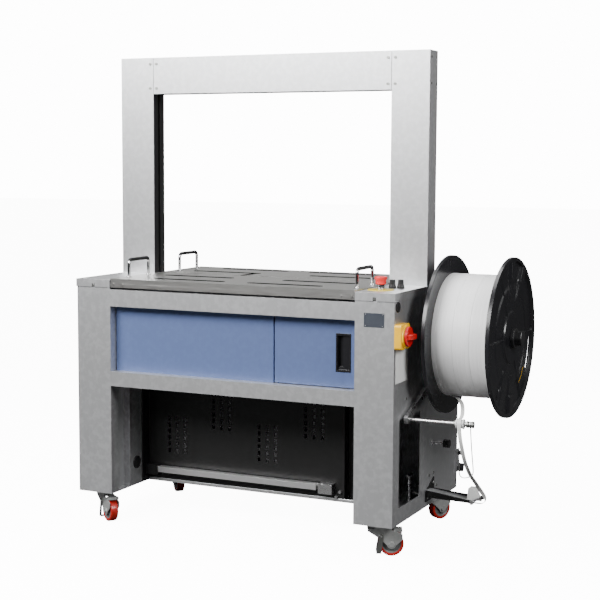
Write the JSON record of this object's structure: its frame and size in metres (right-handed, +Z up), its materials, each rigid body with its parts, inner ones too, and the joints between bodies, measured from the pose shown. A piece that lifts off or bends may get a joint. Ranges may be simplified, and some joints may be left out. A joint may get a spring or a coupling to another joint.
{
  "type": "arch strapping machine",
  "caption": "Table strapping machine on casters with a strap arch, hinged table plates, strap reel, sprung tension arm and foot bar.",
  "frame": {"origin": "centre of the machine's footprint box at floor level, reel included", "axes": "+X to the operator's right (reel side), +Y from the operator's side to the back, +Z up"},
  "size_m": [1.4005, 0.6145, 1.52],
  "materials": {
    "grey_paint": "satin silver-grey powder coat",
    "blue_paint": "satin blue-grey powder coat",
    "black_paint": "satin black powder coat",
    "stainless": "brushed stainless steel",
    "chrome": "bright plated with black sleeves",
    "zinc": "bright zinc plate",
    "machined_steel": "machined",
    "black_plastic": "gloss moulded",
    "yellow_plastic": "moulded",
    "red_plastic": "moulded",
    "white_strap": "wound polypropylene strap",
    "white_plastic": "machined nylon",
    "red_tyre": "polyurethane tyre on a grey hub",
    "belt_rubber": "moulded"
  },
  "bodies": {
    "machine_body": {"left_leg": "grey_paint", "right_leg": "grey_paint", "table_end_caps": "grey_paint", "front_rails": "grey_paint", "left_front_panel": "blue_paint", "vent_panel": "black_paint", "base_tray": "grey_paint", "rear_panel": "grey_paint", "right_rear_cover": "grey_paint", "arch_left_column": "grey_paint", "arch_right_column": "grey_paint", "arch_beam": "grey_paint", "strap_track": "black_plastic", "casing_screws": "zinc", "cable_gland": "black_plastic", "cover_knobs": "black_plastic", "estop_base": "yellow_plastic", "main_switch_body": "yellow_plastic", "foot_bar_mounts": "black_paint", "reel_axle": "zinc", "lower_guide_arm": "black_paint", "guide_block": "white_plastic", "strap_run": "white_strap", "head_frame": "machined_steel", "drive_motor": "black_paint", "drive_belt": "belt_rubber", "control_box": "grey_paint", "strap_pool_box": "grey_paint", "caster_plates": "zinc"},
    "front_top": {"front_top": "stainless", "front_top_handles": "chrome"},
    "rear_top": {"rear_top": "stainless", "rear_top_handles": "chrome"},
    "front_door": {"front_door": "blue_paint", "door_pull": "black_plastic"},
    "estop_button": {"estop_button": "red_plastic"},
    "left_control_knob": {"left_control_knob": "black_plastic"},
    "right_control_knob": {"right_control_knob": "black_plastic"},
    "main_switch_knob": {"main_switch_knob": "red_plastic"},
    "foot_bar": {"foot_bar": "stainless"},
    "reel": {"reel_inner_flange": "black_plastic", "strap_roll": "white_strap", "reel_outer_flange": "black_plastic", "reel_nut": "black_plastic"},
    "dancer_arm": {"dancer_arm": "zinc"},
    "dancer_roller": {"dancer_roller": "white_plastic"},
    "wire_bail": {"wire_bail": "zinc"},
    "tip_roller": {"tip_roller": "black_plastic"},
    "cam_shaft": {"cam_shaft": "machined_steel"},
    "motor_pulley": {"motor_pulley": "machined_steel"},
    "caster_fork_fl": {"caster_fork_fl": "zinc"},
    "caster_wheel_fl": {"caster_wheel_fl": "red_tyre"},
    "caster_fork_fr": {"caster_fork_fr": "zinc"},
    "caster_wheel_fr": {"caster_wheel_fr": "red_tyre"},
    "caster_fork_rl": {"caster_fork_rl": "zinc"},
    "caster_wheel_rl": {"caster_wheel_rl": "red_tyre"},
    "caster_fork_rr": {"caster_fork_rr": "zinc"},
    "caster_wheel_rr": {"caster_wheel_rr": "red_tyre"},
    "brake_pedal_fl": {"brake_pedal_fl": "zinc"},
    "brake_pedal_fr": {"brake_pedal_fr": "zinc"}
  },
  "joints": [
    {"name": "front_top_hinge", "type": "hinge", "parent": "machine_body", "child": "front_top", "pos_m": [-0.148, -0.293, 0.788], "axis": [1, 0, 0], "range_deg": [0, 95]},
    {"name": "rear_top_hinge", "type": "hinge", "parent": "machine_body", "child": "rear_top", "pos_m": [-0.148, 0.273, 0.788], "axis": [-1, 0, 0], "range_deg": [0, 95]},
    {"name": "front_door_hinge", "type": "hinge", "parent": "machine_body", "child": "front_door", "pos_m": [0.007, -0.264, 0.61], "axis": [0, 0, -1], "range_deg": [0, 100]},
    {"name": "estop_press", "type": "slide", "parent": "machine_body", "child": "estop_button", "axis": [0, 0, -1], "range_m": [0, 0.004], "stiffness_N_per_m": 1500, "springref_m": -0.002},
    {"name": "left_knob_turn", "type": "hinge", "parent": "machine_body", "child": "left_control_knob", "pos_m": [0.332, -0.145, 0.81], "axis": [0, 0, 1], "range_deg": [-135, 135]},
    {"name": "right_knob_turn", "type": "hinge", "parent": "machine_body", "child": "right_control_knob", "pos_m": [0.356, -0.137, 0.81], "axis": [0, 0, 1], "range_deg": [-135, 135]},
    {"name": "main_switch_turn", "type": "hinge", "parent": "machine_body", "child": "main_switch_knob", "pos_m": [0.432, -0.271, 0.672], "axis": [1, 0, 0], "range_deg": [0, 90]},
    {"name": "foot_bar_press", "type": "hinge", "parent": "machine_body", "child": "foot_bar", "pos_m": [-0.229, -0.083, 0.152], "axis": [1, 0, 0], "range_deg": [0, 12], "stiffness_Nm_per_rad": 6, "springref_deg": -5.73},
    {"name": "reel_spin", "type": "hinge", "parent": "machine_body", "child": "reel", "pos_m": [0.564, 0, 0.652], "axis": [1, 0, 0], "continuous": true},
    {"name": "dancer_swing", "type": "hinge", "parent": "machine_body", "child": "dancer_arm", "pos_m": [0.414, -0.005, 0.505], "axis": [1, 0, 0], "range_deg": [0, 30], "stiffness_Nm_per_rad": 5, "springref_deg": -34.38, "deforming": ["strap_run"]},
    {"name": "dancer_roller_spin", "type": "hinge", "parent": "dancer_arm", "child": "dancer_roller", "pos_m": [0.58, -0.221, 0.418], "axis": [1, 0, 0], "continuous": true},
    {"name": "bail_swing", "type": "hinge", "parent": "dancer_arm", "child": "wire_bail", "pos_m": [0.61, -0.221, 0.418], "axis": [1, 0, 0], "range_deg": [-75, 6]},
    {"name": "tip_roller_spin", "type": "hinge", "parent": "machine_body", "child": "tip_roller", "pos_m": [0.579, 0, 0.146], "axis": [0, 1, 0], "continuous": true},
    {"name": "cam_shaft_turn", "type": "hinge", "parent": "machine_body", "child": "cam_shaft", "pos_m": [-0.188, 0.015, 0.68], "axis": [0, 1, 0], "continuous": true},
    {"name": "motor_turn", "type": "hinge", "parent": "machine_body", "child": "motor_pulley", "pos_m": [-0.188, 0.085, 0.52], "axis": [0, 1, 0], "continuous": true},
    {"name": "caster_swivel_fl", "type": "hinge", "parent": "machine_body", "child": "caster_fork_fl", "pos_m": [-0.635, -0.243, 0.088], "axis": [0, 0, 1], "continuous": true},
    {"name": "caster_roll_fl", "type": "hinge", "parent": "caster_fork_fl", "child": "caster_wheel_fl", "pos_m": [-0.60598, -0.26257, 0.0375], "axis": [0.5592, 0.829, 0], "continuous": true},
    {"name": "brake_pedal_fl_lift", "type": "hinge", "parent": "caster_fork_fl", "child": "brake_pedal_fl", "pos_m": [-0.63168, -0.24524, 0.062], "axis": [0.5592, 0.829, 0], "range_deg": [0, 20]},
    {"name": "caster_swivel_fr", "type": "hinge", "parent": "machine_body", "child": "caster_fork_fr", "pos_m": [0.339, -0.243, 0.088], "axis": [0, 0, 1], "continuous": true},
    {"name": "caster_roll_fr", "type": "hinge", "parent": "caster_fork_fr", "child": "caster_wheel_fr", "pos_m": [0.37072, -0.22821, 0.0375], "axis": [-0.4226, 0.9063, 0], "continuous": true},
    {"name": "brake_pedal_fr_lift", "type": "hinge", "parent": "caster_fork_fr", "child": "brake_pedal_fr", "pos_m": [0.34263, -0.24131, 0.062], "axis": [-0.4226, 0.9063, 0], "range_deg": [0, 20]},
    {"name": "caster_swivel_rl", "type": "hinge", "parent": "machine_body", "child": "caster_fork_rl", "pos_m": [-0.635, 0.215, 0.088], "axis": [0, 0, 1], "continuous": true},
    {"name": "caster_roll_rl", "type": "hinge", "parent": "caster_fork_rl", "child": "caster_wheel_rl", "pos_m": [-0.61025, 0.19025, 0.0375], "axis": [0.7071, 0.7071, 0], "continuous": true},
    {"name": "caster_swivel_rr", "type": "hinge", "parent": "machine_body", "child": "caster_fork_rr", "pos_m": [0.339, 0.215, 0.088], "axis": [0, 0, 1], "continuous": true},
    {"name": "caster_roll_rr", "type": "hinge", "parent": "caster_fork_rr", "child": "caster_wheel_rr", "pos_m": [0.3565, 0.24531, 0.0375], "axis": [-0.866, 0.5, 0], "continuous": true}
  ],
  "couplings": [
    {"joint": "motor_turn", "follows": "cam_shaft_turn", "ratio": 3}
  ]
}
